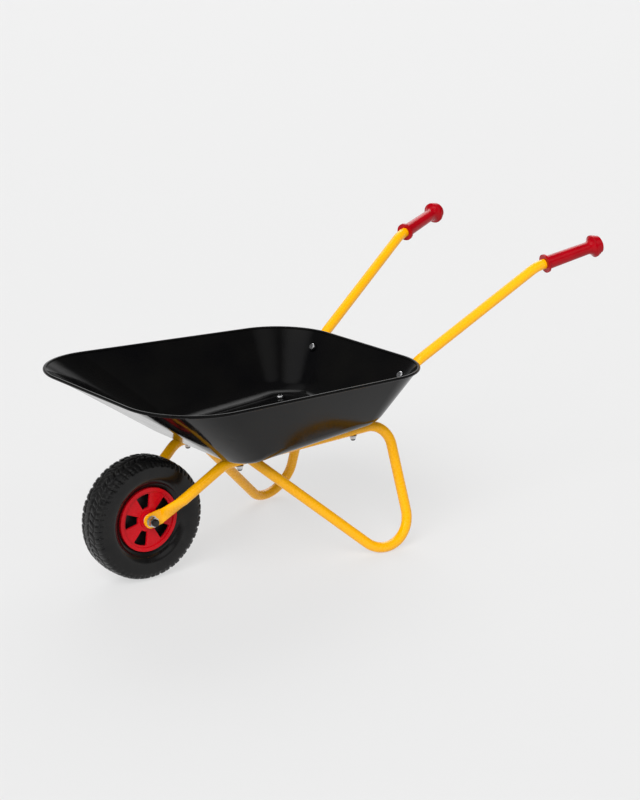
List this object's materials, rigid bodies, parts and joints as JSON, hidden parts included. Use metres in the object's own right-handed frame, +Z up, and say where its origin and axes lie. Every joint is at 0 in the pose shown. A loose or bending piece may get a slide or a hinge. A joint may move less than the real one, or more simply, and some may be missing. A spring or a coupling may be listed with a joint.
{
  "type": "wheelbarrow",
  "caption": "Child's wheelbarrow with a pressed steel tub on a bent tube frame, a rubber-tyred wheel and push-on grips.",
  "frame": {"origin": "on the ground, under the middle of the barrow's bounding box", "axes": "+Z up, +X forward to the wheel, +Y to the left"},
  "size_m": [0.7947, 0.3862, 0.4223],
  "materials": {
    "black_paint": "gloss",
    "yellow_powder_coat": "satin gloss",
    "red_grip": "semi-gloss",
    "tyre_rubber": "semi-gloss",
    "black_plastic": "matt",
    "red_disc": "semi-gloss",
    "white_bush": "matt",
    "zinc_steel": "zinc plated",
    "bright_steel": "bright",
    "black_cap": "gloss"
  },
  "bodies": {
    "frame": {"tub": "black_paint", "frame_tube_left": "yellow_powder_coat", "frame_tube_right": "yellow_powder_coat", "handle_tube_left": "yellow_powder_coat", "handle_tube_right": "yellow_powder_coat", "grip_left": "red_grip", "grip_right": "red_grip", "axle": "zinc_steel", "axle_inner_washers": "zinc_steel", "axle_outer_washers": "zinc_steel", "axle_nuts": "zinc_steel", "axle_nut_caps": "black_cap", "tub_bolts": "bright_steel", "tub_washers": "zinc_steel", "tub_nuts": "zinc_steel", "tub_nut_caps": "black_cap"},
    "wheel": {"tyre": "tyre_rubber", "wheel_core": "black_plastic", "hub_disc_left": "red_disc", "hub_disc_right": "red_disc", "axle_bush_left": "white_bush", "axle_bush_right": "white_bush"}
  },
  "joints": [
    {"name": "wheel_spin", "type": "hinge", "parent": "frame", "child": "wheel", "pos_m": [0.311, 0, 0.0865], "axis": [0, 1, 0], "continuous": true}
  ]
}
